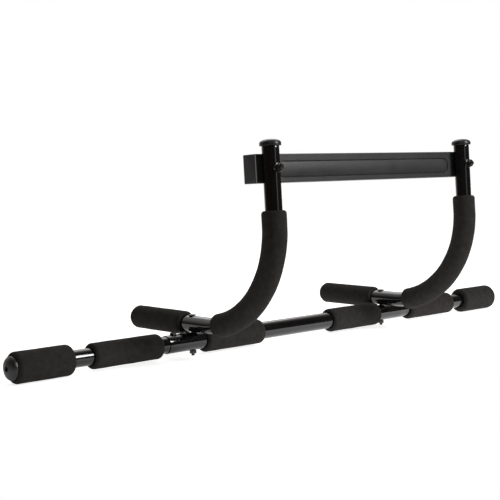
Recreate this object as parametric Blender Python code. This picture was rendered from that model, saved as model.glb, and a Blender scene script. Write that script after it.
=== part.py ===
"""Doorway pull-up bar: a main bar in three tubes, two J-shaped arms bolted across it, foam grips and pads,
and a moulded bracket that hooks over the trim above a door.

Frame: +X along the main bar, -Y towards the uprights and the bracket, +Y towards the handles, +Z up.
The origin is on the floor, below the middle of the whole object's box. Metres throughout.
"""

import math

import bmesh
import bpy
from mathutils import Vector

# Tubes
TUBE_RADIUS = 0.0125
TUBE_WALL = 0.0015
CENTRE_TUBE_WALL = 0.0009
FIT_GAP = 0.0003

# Main bar: the centre tube ends so far outside the arms
BAR_HALF = 0.5343
CENTRE_TUBE_BEYOND_ARM = 0.0534
INSERTION = 0.0980
LOCK_SCREW_STEPS = (0.0150, 0.0330)

# Arms
ARM_X = 0.2186
LEVEL_RUN = 0.0343
BEND_RADIUS = 0.1475
LEAN = math.radians(3.3)
UPRIGHT_RUN = 0.1094
HANDLE_LENGTH = 0.1335

# Foam: its wall, and its length or its clearances from what stands at its ends, listed from the middle outwards
END_GRIP_FOAM = 0.0092
END_GRIP_LENGTH = 0.0900
WIDE_GRIP_FOAM = 0.0060
WIDE_GRIP_CLEARANCES = (0.0140, 0.0358)
INNER_GRIP_FOAM = 0.0055
INNER_GRIP_CLEARANCE = 0.0186
INNER_GRIP_LENGTH = 0.1190
ARM_FOAM = 0.0052
HANDLE_GRIP_LENGTH = 0.1200
LEFT_PAD_BEYOND_BEND = (-0.0232, 0.0195)
RIGHT_PAD_BEYOND_BEND = (-0.0242, 0.0265)
FOAM_ROUNDING = 0.0050

# Caps: how far each reaches beyond its tube, and its height
END_CAP_OVERHANG = 0.0040
END_CAP_HEIGHT = 0.0096
TOP_CAP_OVERHANG = 0.0030
TOP_CAP_HEIGHT = 0.0097
HANDLE_CAP_OVERHANG = 0.0023
HANDLE_CAP_HEIGHT = 0.0036
CAP_RIM = 0.3
CAP_STEM = 0.0140
CAP_VENT_RADIUS = 0.0038
CAP_VENT_DEPTH = 0.0040

# Door bracket
BRACKET_OVERHANG = 0.0198
BRACKET_HEIGHT = 0.0410
BRACKET_DEPTH = 0.0255
BRACKET_DROP = 0.0305
BRACKET_WALL = 0.0030
BRACKET_FRONT_WALL = 0.0048
BRACKET_SEAT = 0.0020
BRACKET_EDGE = 0.0012
POCKETS_BETWEEN_ARMS = 6
CENTRE_RIB = 0.0120
PANEL_UPPER_MARGIN = 0.0100
PANEL_LOWER_MARGIN = 0.0070
PANEL_DEPTH = 0.0014
PANEL_END_MARGIN = 0.0225

# Fasteners
SCREW_RADIUS = 0.0030
SCREW_FLATS = 0.0100
SCREW_HEAD = 0.0026
SCREW_REACH = 0.0020
CROSSING_BOLT_RADIUS = 0.0026
CROSSING_FLATS = 0.0093
CROSSING_NUT = 0.0049
CROSSING_TAIL = 0.0032
BRACKET_BOLT_RADIUS = 0.0030
BRACKET_FLATS = 0.0102
BRACKET_NUT = 0.0050
BRACKET_TAIL = 0.0026
ROUND_HEAD_OVERHANG = 0.0034
ROUND_HEAD_HEIGHT = 0.0019
SADDLE_RADIUS = 0.0070
SADDLE_THICKNESS = 0.0014

# Facets
ROUND_SIDES = 24
SMALL_SIDES = 16
BEND_STEPS = 13
ROUNDING_STEPS = 2

# Worked out from the above
TUBE_BORE = TUBE_RADIUS - TUBE_WALL
CENTRE_TUBE_BORE = TUBE_RADIUS + FIT_GAP
CENTRE_TUBE_RADIUS = CENTRE_TUBE_BORE + CENTRE_TUBE_WALL
CENTRE_TUBE_HALF = ARM_X + CENTRE_TUBE_BEYOND_ARM
END_GRIP_RADIUS = TUBE_RADIUS + FIT_GAP + END_GRIP_FOAM
ARM_FOAM_RADIUS = TUBE_RADIUS + FIT_GAP + ARM_FOAM
BEND_ANGLE = math.pi / 2 + LEAN
BEND_END = LEVEL_RUN + BEND_RADIUS * BEND_ANGLE
ARM_TOP = BEND_END + UPRIGHT_RUN
ARM_FRONT = LEVEL_RUN + BEND_RADIUS + ARM_FOAM_RADIUS
HANDLE_BACK = HANDLE_LENGTH + FIT_GAP + HANDLE_CAP_HEIGHT
BAR_Y = (ARM_FRONT - HANDLE_BACK) / 2
BAR_Z = END_GRIP_RADIUS
ARM_RISE = CENTRE_TUBE_RADIUS + FIT_GAP + TUBE_RADIUS
BRACKET_AT = ARM_TOP - BRACKET_DROP
BRACKET_FACE = TUBE_RADIUS + FIT_GAP - BRACKET_SEAT
BRACKET_HALF = ARM_X + BRACKET_OVERHANG

# Colour, roughness and metallic value of each finish
FOAM = ((0.020, 0.020, 0.021, 1.0), 0.92, 0.0)
PAINTED_STEEL = ((0.012, 0.012, 0.013, 1.0), 0.22, 0.6)
CAP_PLASTIC = ((0.025, 0.025, 0.026, 1.0), 0.42, 0.0)
BRACKET_PLASTIC = ((0.035, 0.035, 0.037, 1.0), 0.50, 0.0)
BLACK_STEEL = ((0.030, 0.030, 0.032, 1.0), 0.35, 0.8)


def clear_scene():
    for old in list(bpy.data.objects):
        bpy.data.objects.remove(old, do_unlink=True)


def material(name, finish):
    colour, roughness, metallic = finish
    made = bpy.data.materials.new(name)
    made.use_nodes = True
    shader = made.node_tree.nodes["Principled BSDF"]
    shader.inputs["Base Color"].default_value = colour
    shader.inputs["Roughness"].default_value = roughness
    shader.inputs["Metallic"].default_value = metallic
    return made


def frame(name, location, parent=None, lean=0.0):
    """An empty that carries a group of pieces; a positive lean tips its +Z towards +Y."""
    empty = bpy.data.objects.new(name, None)
    empty.location = location
    empty.rotation_euler = (-lean, 0.0, 0.0)
    empty.parent = parent
    bpy.context.scene.collection.objects.link(empty)
    return empty


def piece(name, mesh, finish, parent, location=(0.0, 0.0, 0.0), rotation=(0.0, 0.0, 0.0)):
    """A named object for mesh, or a hidden tool where finish is None."""
    made = bpy.data.objects.new(name, mesh)
    made.parent = parent
    made.location = location
    made.rotation_euler = rotation
    bpy.context.scene.collection.objects.link(made)
    if finish is None:
        made.hide_render = True
        made.display_type = "WIRE"
    else:
        made.data.materials.clear()
        made.data.materials.append(material(name, finish))
    return made


def boolean(target, tool, operation="DIFFERENCE"):
    modifier = target.modifiers.new(tool.name, "BOOLEAN")
    modifier.operation = operation
    modifier.solver = "EXACT"
    modifier.object = tool


def straight_path(along, across):
    """A path from the origin: distance gives its centre and the two directions square to it."""
    along = Vector(along)
    across = Vector(across)
    return lambda distance: (along * distance, across, along.cross(across))


X_PATH = straight_path((1, 0, 0), (0, 1, 0))
Z_PATH = straight_path((0, 0, 1), (1, 0, 0))


def arm_path(distance):
    """The arm's centre line about its crossing with the bar: the handle is at negative distances."""
    level = min(distance, LEVEL_RUN)
    turn = min(max((distance - LEVEL_RUN) / BEND_RADIUS, 0.0), BEND_ANGLE)
    beyond = max(distance - BEND_END, 0.0)
    along = Vector((0.0, -math.cos(turn), math.sin(turn)))
    across = Vector((1.0, 0.0, 0.0))
    bend = Vector((0.0, -level - BEND_RADIUS * math.sin(turn), BEND_RADIUS * (1 - math.cos(turn))))
    return bend + along * beyond, across, along.cross(across)


def bend_stations(start, end):
    """Distances from start to end with extra stops where the arm bends."""
    stops = [LEVEL_RUN + BEND_RADIUS * BEND_ANGLE * step / BEND_STEPS for step in range(BEND_STEPS + 1)]
    return [start] + [stop for stop in stops if start + FIT_GAP < stop < end - FIT_GAP] + [end]


def swept(name, path, outline, sides=ROUND_SIDES):
    """A body of rings about path: outline lists (distance, radius), and closes on itself off the axis."""
    shape = bmesh.new()
    rings = []
    for distance, radius in outline:
        centre, across, rise = path(distance)
        if radius == 0:
            rings.append([shape.verts.new(centre)] * sides)
            continue
        angles = [2 * math.pi * side / sides for side in range(sides)]
        spokes = [across * math.cos(angle) + rise * math.sin(angle) for angle in angles]
        rings.append([shape.verts.new(centre + spoke * radius) for spoke in spokes])
    on_axis = outline[0][1] == 0
    following = rings[1:] if on_axis else rings[1:] + rings[:1]
    for ring, other in zip(rings, following):
        for side in range(sides):
            after = (side + 1) % sides
            corners = dict.fromkeys((ring[side], ring[after], other[after], other[side]))
            shape.faces.new(list(corners))
    bmesh.ops.recalc_face_normals(shape, faces=shape.faces)
    mesh = bpy.data.meshes.new(name)
    shape.to_mesh(mesh)
    shape.free()
    mesh.shade_smooth()
    mesh.set_sharp_from_angle(angle=math.radians(35))
    return mesh


def tube_outline(stations, radius, bore):
    """The wall of an open tube, along the outside and back along the bore."""
    return [(stop, radius) for stop in stations] + [(stop, bore) for stop in reversed(stations)]


def foam_outline(stations, inside, foam):
    """A foam sleeve over a tube of radius inside: its two outer edges are rounded as far as the foam allows."""
    start, end = stations[0], stations[-1]
    bore = inside + FIT_GAP
    radius = bore + foam
    rounding = min(FOAM_ROUNDING, foam * 0.97)
    quarter = [math.pi / 2 * step / ROUNDING_STEPS for step in range(ROUNDING_STEPS + 1)]
    rim = [(rounding * (1 - math.sin(angle)), rounding * (1 - math.cos(angle))) for angle in quarter]
    near = [(start + inset, radius - drop) for inset, drop in reversed(rim)]
    far = [(end - inset, radius - drop) for inset, drop in rim]
    middle = [stop for stop in stations if start + 1.5 * rounding < stop < end - 1.5 * rounding]
    outside = near + [(stop, radius) for stop in middle] + far
    return outside + [(stop, bore) for stop in reversed(stations)]


def cylinder(name, radius, low, high, sides=SMALL_SIDES, path=Z_PATH):
    return swept(name, path, [(low, 0.0), (low, radius), (high, radius), (high, 0.0)], sides)


def drill(target, name, radius, parent, location, low, high, rotation=(0.0, 0.0, 0.0)):
    """Cuts a round hole from low to high along the tool's own +Z."""
    tool = piece(name, cylinder(name, radius + FIT_GAP, low, high), None, parent, location, rotation)
    boolean(target, tool)


def hexagon(name, flats, low, high):
    """A hexagonal prism along +Z with its corners turned off at the upper face."""
    corner = flats / math.sqrt(3)
    turned = flats / 2 * 0.96
    chamfer = (corner - turned) * math.tan(math.radians(30))
    shape = bmesh.new()
    bmesh.ops.create_cone(
        shape, cap_ends=True, segments=6, radius1=corner, radius2=corner, depth=high - low
    )
    bmesh.ops.translate(shape, verts=shape.verts, vec=(0.0, 0.0, (low + high) / 2))
    mesh = bpy.data.meshes.new(name)
    shape.to_mesh(mesh)
    shape.free()
    reach = corner * 1.2
    above = high + chamfer * 0.01
    slope = chamfer + (reach - corner) * math.tan(math.radians(30))
    limit = [(low - chamfer, 0.0), (low - chamfer, reach), (above - slope, reach), (above, turned), (above, 0.0)]
    return mesh, swept(name + "_turning", Z_PATH, limit, SMALL_SIDES)


# ---------------------------------------------------------------- main bar


def make_centre_tube(bar):
    stations = [-CENTRE_TUBE_HALF, CENTRE_TUBE_HALF]
    mesh = swept("centre_tube", X_PATH, tube_outline(stations, CENTRE_TUBE_RADIUS, CENTRE_TUBE_BORE))
    tube = piece("centre_tube", mesh, PAINTED_STEEL, bar)
    for side, sign in (("left", -1), ("right", 1)):
        drill_bar_holes(tube, f"{side}_centre_tube", bar, sign)


def drill_bar_holes(tube, name, bar, sign):
    """The crossing bolt passes right through the bar; the lock screws enter its upper wall only."""
    through = CENTRE_TUBE_RADIUS * 1.2
    drill(tube, f"{name}_bolt_hole", CROSSING_BOLT_RADIUS, bar, (sign * ARM_X, 0.0, 0.0), -through, through)
    for number, step in enumerate(LOCK_SCREW_STEPS, 1):
        place = (sign * (CENTRE_TUBE_HALF - step), 0.0, 0.0)
        drill(tube, f"{name}_screw_hole_{number}", SCREW_RADIUS, bar, place, 0.0, through)


def make_end_bar(side, sign, bar):
    """The outer tube, which slides into the centre tube and is held by the crossing bolt and two screws."""
    stations = [CENTRE_TUBE_HALF - INSERTION, BAR_HALF]
    mesh = swept(f"{side}_end_bar", X_PATH, tube_outline(stations, TUBE_RADIUS, TUBE_BORE))
    turn = (0.0, 0.0, 0.0 if sign > 0 else math.pi)
    tube = piece(f"{side}_end_bar", mesh, PAINTED_STEEL, bar, rotation=turn)
    drill_bar_holes(tube, f"{side}_end_bar", bar, sign)


def make_bar_grips(side, sign, bar):
    """Three foam sleeves on each half of the bar, listed from the end inwards."""
    end_start = BAR_HALF - END_GRIP_LENGTH
    wide_start = CENTRE_TUBE_HALF + WIDE_GRIP_CLEARANCES[0]
    wide_end = end_start - WIDE_GRIP_CLEARANCES[1]
    inner_end = ARM_X - INNER_GRIP_CLEARANCE
    sleeves = (
        ("end_grip", end_start, BAR_HALF, TUBE_RADIUS, END_GRIP_FOAM),
        ("wide_grip", wide_start, wide_end, TUBE_RADIUS, WIDE_GRIP_FOAM),
        ("inner_grip", inner_end - INNER_GRIP_LENGTH, inner_end, CENTRE_TUBE_RADIUS, INNER_GRIP_FOAM),
    )
    turn = (0.0, 0.0, 0.0 if sign > 0 else math.pi)
    for name, start, end, inside, foam in sleeves:
        outline = foam_outline([start, end], inside, foam)
        piece(f"{side}_{name}", swept(name, X_PATH, outline), FOAM, bar, rotation=turn)


def make_lock_screws(side, sign, bar):
    seat = CENTRE_TUBE_RADIUS + FIT_GAP
    tip = TUBE_BORE - SCREW_REACH
    for number, step in enumerate(LOCK_SCREW_STEPS, 1):
        name = f"{side}_lock_screw_{number}"
        place = (sign * (CENTRE_TUBE_HALF - step), 0.0, 0.0)
        head, turning = hexagon(name, SCREW_FLATS, seat, seat + SCREW_HEAD)
        screw = piece(name, head, BLACK_STEEL, bar, place)
        boolean(screw, piece(f"{name}_turning", turning, None, bar, place), "INTERSECT")
        shank = cylinder(f"{name}_shank", SCREW_RADIUS, tip, seat + SCREW_HEAD / 2)
        boolean(screw, piece(f"{name}_shank", shank, None, bar, place), "UNION")


# ---------------------------------------------------------------- arms


def make_arm_tube(side, arm):
    stations = bend_stations(-HANDLE_LENGTH, ARM_TOP)
    mesh = swept(f"{side}_arm_tube", arm_path, tube_outline(stations, TUBE_RADIUS, TUBE_BORE))
    tube = piece(f"{side}_arm_tube", mesh, PAINTED_STEEL, arm)
    through = TUBE_RADIUS * 1.2
    drill(tube, f"{side}_arm_crossing_hole", CROSSING_BOLT_RADIUS, arm, (0.0, 0.0, 0.0), -through, through)
    centre = arm_path(BRACKET_AT)[0]
    tilt = (math.pi / 2 - LEAN, 0.0, 0.0)
    drill(tube, f"{side}_arm_bracket_hole", BRACKET_BOLT_RADIUS, arm, centre, -through, through, tilt)


def make_arm_foam(side, arm):
    grip_end = -HANDLE_LENGTH
    grip = foam_outline([grip_end, grip_end + HANDLE_GRIP_LENGTH], TUBE_RADIUS, ARM_FOAM)
    piece(f"{side}_handle_grip", swept("handle_grip", arm_path, grip), FOAM, arm)
    below, above = LEFT_PAD_BEYOND_BEND if side == "left" else RIGHT_PAD_BEYOND_BEND
    pad = foam_outline(bend_stations(LEVEL_RUN - below, BEND_END + above), TUBE_RADIUS, ARM_FOAM)
    piece(f"{side}_arm_pad", swept("arm_pad", arm_path, pad), FOAM, arm)


def make_crossing_fasteners(side, arm):
    """A round-headed bolt drops through the arm and the bar, and its nut is under the bar."""
    head_seat = TUBE_RADIUS + FIT_GAP
    nut_top = -ARM_RISE - CENTRE_TUBE_RADIUS - FIT_GAP
    tail = nut_top - CROSSING_NUT - CROSSING_TAIL
    outline = [(tail, 0.0), (tail, CROSSING_BOLT_RADIUS), (head_seat, CROSSING_BOLT_RADIUS)]
    outline += round_head(head_seat, CROSSING_BOLT_RADIUS + ROUND_HEAD_OVERHANG)
    piece(f"{side}_crossing_bolt", swept("crossing_bolt", Z_PATH, outline, SMALL_SIDES), BLACK_STEEL, arm)
    bore = CROSSING_BOLT_RADIUS + FIT_GAP
    under = (0.0, 0.0, nut_top)
    make_nut(f"{side}_crossing_nut", CROSSING_FLATS, CROSSING_NUT, bore, arm, under, (math.pi, 0.0, 0.0))


def round_head(seat, radius):
    """The domed head of a carriage bolt, as an outline from its seat to its crown."""
    lip = ROUND_HEAD_HEIGHT * 0.3
    shoulder = seat + ROUND_HEAD_HEIGHT * 0.75
    return [(seat, radius), (seat + lip, radius), (shoulder, radius * 0.7), (seat + ROUND_HEAD_HEIGHT, 0.0)]


def make_nut(name, flats, height, bore, parent, location, rotation):
    """A nut standing on its own z = 0, with the turned corners away from its seat."""
    body, turning = hexagon(name, flats, 0.0, height)
    nut = piece(name, body, BLACK_STEEL, parent, location, rotation)
    boolean(nut, piece(f"{name}_turning", turning, None, parent, location, rotation), "INTERSECT")
    hole = cylinder(f"{name}_hole", bore, -height, 2 * height)
    boolean(nut, piece(f"{name}_hole", hole, None, parent, location, rotation))


# ---------------------------------------------------------------- caps


def cap_mesh(overhang, height, vented=False):
    """A domed cap on a stem that plugs a tube: it stands on z = 0, and can have a small vent in its crown."""
    dome_steps = 3
    radius = TUBE_RADIUS + overhang
    rim = height * CAP_RIM
    stem = TUBE_BORE - FIT_GAP
    outline = [(-CAP_STEM, 0.0), (-CAP_STEM, stem), (0.0, stem), (0.0, radius), (rim, radius)]
    for step in range(1, dome_steps + 1):
        angle = math.pi / 2 * step / (dome_steps + 1)
        outline.append((rim + (height - rim) * math.sin(angle), radius * math.cos(angle)))
    if vented:
        floor = height - CAP_VENT_DEPTH
        outline += [(height, CAP_VENT_RADIUS), (floor, CAP_VENT_RADIUS), (floor, 0.0)]
    else:
        outline.append((height, 0.0))
    return swept("cap", Z_PATH, outline, SMALL_SIDES)


def make_caps(side, sign, bar, arm):
    bar_end = (sign * (BAR_HALF + FIT_GAP), 0.0, 0.0)
    end_cap = cap_mesh(END_CAP_OVERHANG, END_CAP_HEIGHT, vented=True)
    piece(f"{side}_bar_end_cap", end_cap, CAP_PLASTIC, bar, bar_end, (0.0, sign * math.pi / 2, 0.0))
    handle_end = arm_path(-HANDLE_LENGTH - FIT_GAP)[0]
    handle_cap = cap_mesh(HANDLE_CAP_OVERHANG, HANDLE_CAP_HEIGHT)
    piece(f"{side}_handle_end_cap", handle_cap, CAP_PLASTIC, arm, handle_end, (-math.pi / 2, 0.0, 0.0))
    top = arm_path(ARM_TOP + FIT_GAP)[0]
    top_cap = cap_mesh(TOP_CAP_OVERHANG, TOP_CAP_HEIGHT)
    piece(f"{side}_arm_top_cap", top_cap, CAP_PLASTIC, arm, top, (-LEAN, 0.0, 0.0))


# ---------------------------------------------------------------- door bracket


def block(name, low, high):
    """A box from its lowest corner to its highest."""
    shape = bmesh.new()
    bmesh.ops.create_cube(shape, size=1.0)
    low, high = Vector(low), Vector(high)
    bmesh.ops.scale(shape, verts=shape.verts, vec=high - low)
    bmesh.ops.translate(shape, verts=shape.verts, vec=(low + high) / 2)
    mesh = bpy.data.meshes.new(name)
    shape.to_mesh(mesh)
    shape.free()
    return mesh


def pocket_spans():
    """The X range of each pocket in the bracket's back: one round each bolt, and the rest between the arms."""
    wall = BRACKET_WALL
    outer = BRACKET_HALF - wall
    inner = 2 * ARM_X - outer
    spans = [(inner, outer)]
    start = CENTRE_RIB / 2
    count = POCKETS_BETWEEN_ARMS // 2
    width = (inner - start - count * wall) / count
    spans += [(start + number * (width + wall), start + number * (width + wall) + width) for number in range(count)]
    return spans + [(-high, -low) for low, high in spans]


def panel_mesh(face):
    """The cutter of the shallow panel in the bracket's front: a slot with half-round ends."""
    radius = (BRACKET_HEIGHT - PANEL_UPPER_MARGIN - PANEL_LOWER_MARGIN) / 2
    middle = -BRACKET_HEIGHT / 2 + PANEL_LOWER_MARGIN + radius
    reach = ARM_X - PANEL_END_MARGIN - radius
    steps = 8
    corners = []
    for sign in (1, -1):
        for step in range(steps + 1):
            angle = sign * (math.pi / 2 - math.pi * step / steps)
            corners.append((sign * (reach + radius * math.cos(angle)), middle + radius * math.sin(angle)))
    shape = bmesh.new()
    outline = [shape.verts.new((x, face - PANEL_DEPTH, z)) for x, z in corners]
    front = shape.faces.new(outline)
    grown = bmesh.ops.extrude_face_region(shape, geom=[front])
    moved = [item for item in grown["geom"] if isinstance(item, bmesh.types.BMVert)]
    bmesh.ops.translate(shape, verts=moved, vec=(0.0, 2 * PANEL_DEPTH, 0.0))
    bmesh.ops.recalc_face_normals(shape, faces=shape.faces)
    mesh = bpy.data.meshes.new("panel")
    shape.to_mesh(mesh)
    shape.free()
    return mesh


def make_bracket(bracket):
    """A moulded beam across both uprights, open in pockets on the side that faces the wall."""
    face = BRACKET_FACE
    back = face + BRACKET_DEPTH
    half = BRACKET_HEIGHT / 2
    mesh = block("door_bracket", (-BRACKET_HALF, face, -half), (BRACKET_HALF, back, half))
    beam = piece("door_bracket", mesh, BRACKET_PLASTIC, bracket)
    edges = beam.modifiers.new("edges", "BEVEL")
    edges.width = BRACKET_EDGE
    edges.segments = 2
    inside = half - BRACKET_WALL
    for number, (low, high) in enumerate(pocket_spans(), 1):
        pocket = block("pocket", (low, face + BRACKET_FRONT_WALL, -inside), (high, back * 1.2, inside))
        boolean(beam, piece(f"bracket_pocket_{number}", pocket, None, bracket))
    boolean(beam, piece("bracket_panel", panel_mesh(face), None, bracket))
    for side, sign in (("left", -1), ("right", 1)):
        place = (sign * ARM_X, 0.0, 0.0)
        seat = cylinder("seat", TUBE_RADIUS + FIT_GAP, -BRACKET_HEIGHT, BRACKET_HEIGHT, ROUND_SIDES)
        boolean(beam, piece(f"{side}_bracket_seat", seat, None, bracket, place))
        turn = (-math.pi / 2, 0.0, 0.0)
        drill(beam, f"{side}_bracket_hole", BRACKET_BOLT_RADIUS, bracket, place, 0.0, back, turn)


def make_bracket_fasteners(side, sign, bracket):
    """A round head inside the bracket, its shank through the upright, and a saddle washer and nut in front."""
    place = (sign * ARM_X, 0.0, 0.0)
    inwards = (-math.pi / 2, 0.0, 0.0)
    outwards = (math.pi / 2, 0.0, 0.0)
    head_seat = BRACKET_FACE + BRACKET_FRONT_WALL + FIT_GAP
    nut_seat = TUBE_RADIUS + FIT_GAP + SADDLE_THICKNESS + FIT_GAP
    tail = -(nut_seat + BRACKET_NUT + BRACKET_TAIL)
    outline = [(tail, 0.0), (tail, BRACKET_BOLT_RADIUS), (head_seat, BRACKET_BOLT_RADIUS)]
    outline += round_head(head_seat, BRACKET_BOLT_RADIUS + ROUND_HEAD_OVERHANG)
    bolt = swept("bracket_bolt", Z_PATH, outline, SMALL_SIDES)
    piece(f"{side}_bracket_bolt", bolt, BLACK_STEEL, bracket, place, inwards)
    bore = BRACKET_BOLT_RADIUS + FIT_GAP
    stations = [TUBE_RADIUS / 2, nut_seat - FIT_GAP]
    washer = swept("saddle_washer", Z_PATH, tube_outline(stations, SADDLE_RADIUS, bore), SMALL_SIDES)
    saddle = piece(f"{side}_saddle_washer", washer, BLACK_STEEL, bracket, place, outwards)
    upright = cylinder("upright", TUBE_RADIUS + FIT_GAP, -BRACKET_HEIGHT, BRACKET_HEIGHT, ROUND_SIDES)
    boolean(saddle, piece(f"{side}_saddle_hollow", upright, None, bracket, place))
    nut_place = (sign * ARM_X, -nut_seat, 0.0)
    make_nut(f"{side}_bracket_nut", BRACKET_FLATS, BRACKET_NUT, bore, bracket, nut_place, outwards)


def main():
    clear_scene()
    bar = frame("bar_frame", (0.0, BAR_Y, BAR_Z))
    crossing = Vector((0.0, BAR_Y, BAR_Z + ARM_RISE))
    bracket = frame("bracket_frame", crossing + arm_path(BRACKET_AT)[0], lean=LEAN)
    make_centre_tube(bar)
    make_bracket(bracket)
    for side, sign in (("left", -1), ("right", 1)):
        arm = frame(f"{side}_arm_frame", crossing + Vector((sign * ARM_X, 0.0, 0.0)))
        make_end_bar(side, sign, bar)
        make_bar_grips(side, sign, bar)
        make_lock_screws(side, sign, bar)
        make_arm_tube(side, arm)
        make_arm_foam(side, arm)
        make_crossing_fasteners(side, arm)
        make_caps(side, sign, bar, arm)
        make_bracket_fasteners(side, sign, bracket)


main()
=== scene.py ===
"""Fine surfaces, finishes and stage of a doorway pull-up bar.

Each visible piece is a surface worked out as whole arrays on a grid of rows along a line and columns around
it. Places and radii come from the CAD frame; the values that the frame's boxes can't give are named at the
top or are the defaults of the property groups. Metres and radians throughout: +X along the main bar,
-Y towards the bracket, +Y towards the handles, +Z up.
"""

import math
from functools import partial

import bpy
import numpy as np
from mathutils import Matrix, Vector


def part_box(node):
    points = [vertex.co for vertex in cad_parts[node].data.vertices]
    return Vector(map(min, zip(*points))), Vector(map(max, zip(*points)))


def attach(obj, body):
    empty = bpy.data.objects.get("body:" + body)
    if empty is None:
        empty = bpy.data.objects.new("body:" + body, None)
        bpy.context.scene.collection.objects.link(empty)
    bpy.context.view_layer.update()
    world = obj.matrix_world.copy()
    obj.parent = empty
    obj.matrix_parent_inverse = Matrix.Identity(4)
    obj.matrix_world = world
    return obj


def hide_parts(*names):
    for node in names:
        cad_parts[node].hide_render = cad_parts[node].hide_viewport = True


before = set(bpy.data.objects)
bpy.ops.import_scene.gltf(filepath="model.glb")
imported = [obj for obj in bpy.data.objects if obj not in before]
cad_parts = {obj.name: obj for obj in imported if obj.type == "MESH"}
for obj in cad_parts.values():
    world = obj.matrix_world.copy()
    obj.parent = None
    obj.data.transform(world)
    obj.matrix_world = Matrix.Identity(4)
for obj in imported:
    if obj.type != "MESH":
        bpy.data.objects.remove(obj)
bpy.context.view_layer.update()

bl_info = {
    "name": "Doorway Pull-up Bar",
    "version": (1, 0, 0),
    "blender": (4, 5, 0),
    "location": "3D View > Sidebar > Pull-up Bar",
    "description": "Builds the surfaces, finishes and stage of a doorway pull-up bar around its CAD frame",
    "category": "Add Mesh",
}

SIDES = (("left", -1.0), ("right", 1.0))
MM = 0.001


def middle(node):
    low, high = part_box(node)
    return (np.array(low) + np.array(high)) / 2


def extent(node):
    low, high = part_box(node)
    return np.array(high) - np.array(low)


BAR_CENTRE = middle("centre_tube")
CENTRE_TUBE_RADIUS = extent("centre_tube")[2] / 2
TUBE_RADIUS = extent("left_end_bar")[2] / 2
CENTRE_TUBE_END = extent("centre_tube")[0] / 2
ARM_X = middle("right_arm_tube")[0]
CROSSING_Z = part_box("right_arm_tube")[0][2] + TUBE_RADIUS
HANDLE_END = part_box("right_arm_tube")[1][1] - BAR_CENTRE[1]
GAP = 0.3 * MM
CAP_STEM = 14 * MM
VENT_RADIUS = 3.8 * MM
VENT_DEPTH = 4 * MM
CENTRE_RIB = 12 * MM
BRACKET_EDGE = 1.3 * MM
POCKETS_EACH_SIDE = 3
SCREW_RADIUS = 3.0 * MM
CROSSING_BOLT_RADIUS = 2.6 * MM
BRACKET_BOLT_RADIUS = 3.0 * MM
BRACKET_BOLT_HEAD = 1.9 * MM
BRACKET_BOLT_TAIL = 2.6 * MM
BRACKET_NUT = 5.0 * MM
SADDLE_THICKNESS = 1.4 * MM
THREADED_LENGTH = 12 * MM


# ---------------------------------------------------------------- settings


def length(name, description, default):
    return bpy.props.FloatProperty(
        name=name, description=description, default=default, min=0.0, precision=5,
        subtype="DISTANCE", unit="LENGTH",
    )


def colour(name, description, default):
    return bpy.props.FloatVectorProperty(
        name=name, description=description, default=default, size=3, min=0.0, max=1.0, subtype="COLOR"
    )


def strength(name, description, default):
    return bpy.props.FloatProperty(name=name, description=description, default=default, min=0.0)


def power(name, description, default):
    return bpy.props.FloatProperty(name=name, description=description, default=default, min=0.0, unit="POWER")


class PullUpBarSizes(bpy.types.PropertyGroup):
    level_run: length("Level run", "Straight stretch of an arm from the crossing to its bend", 34.3 * MM)
    bend_radius: length("Bend radius", "Radius of an arm's centre line in the bend", 147.5 * MM)
    lean: bpy.props.FloatProperty(
        name="Lean", description="How far the uprights lean towards the handles", default=math.radians(3.3),
        subtype="ANGLE", unit="ROTATION",
    )
    upright_run: length("Upright run", "Straight stretch of an arm above its bend", 109.4 * MM)
    tube_wall: length("Tube wall", "Wall of the arms and end bars", 1.5 * MM)
    foam_rounding: length("Foam rounding", "Depth of the rounded ends of the foam", 5.0 * MM)
    left_pad_start: length("Left pad start", "Where the left arm pad starts along its arm", 57.5 * MM)
    left_pad_length: length("Left pad length", "Length of the left arm pad along its arm", 236.5 * MM)
    right_pad_start: length("Right pad start", "Where the right arm pad starts along its arm", 58.5 * MM)
    right_pad_length: length("Right pad length", "Length of the right arm pad along its arm", 242.5 * MM)
    bracket_height: length("Bracket height", "Height of the door bracket's face", 41.0 * MM)
    bracket_depth: length("Bracket depth", "Depth of the door bracket towards the wall", 25.5 * MM)
    bracket_drop: length("Bracket drop", "Bracket's middle below the top of the uprights", 30.5 * MM)
    bracket_seat: length("Bracket seat", "How far the bracket wraps round the uprights", 2.0 * MM)
    bracket_wall: length("Bracket wall", "Ribs and edges of the door bracket", 3.0 * MM)
    bracket_front: length("Bracket front", "Front wall of the door bracket", 4.8 * MM)
    panel_height: length("Panel height", "Height of the sunk panel in the bracket's face", 24.0 * MM)
    panel_margin: length("Panel margin", "Face below the sunk panel", 7.0 * MM)
    panel_depth: length("Panel depth", "Depth of the sunk panel at its rim", 1.4 * MM)
    panel_swell: length("Panel swell", "How far the sunk panel swells back at its middle", 1.2 * MM)
    panel_end: length("Panel end", "From an upright to the end of the sunk panel", 22.5 * MM)
    thread_pitch: length("Thread pitch", "Pitch of the bolts' threads", 0.9 * MM)


class PullUpBarFinishes(bpy.types.PropertyGroup):
    foam: colour("Foam", "Charcoal foam of the grips and pads", (0.0262, 0.0241, 0.0228))
    paint: colour("Paint", "Gloss black paint of the tubes", (0.0040, 0.0040, 0.0042))
    cap: colour("Caps", "Satin plastic of the caps", (0.0165, 0.0165, 0.0168))
    bracket: colour("Bracket", "Grained plastic of the door bracket", (0.0285, 0.0286, 0.0296))
    fastener: colour("Fasteners", "Blackened steel of the bolts and nuts", (0.0500, 0.0490, 0.0480))


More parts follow.
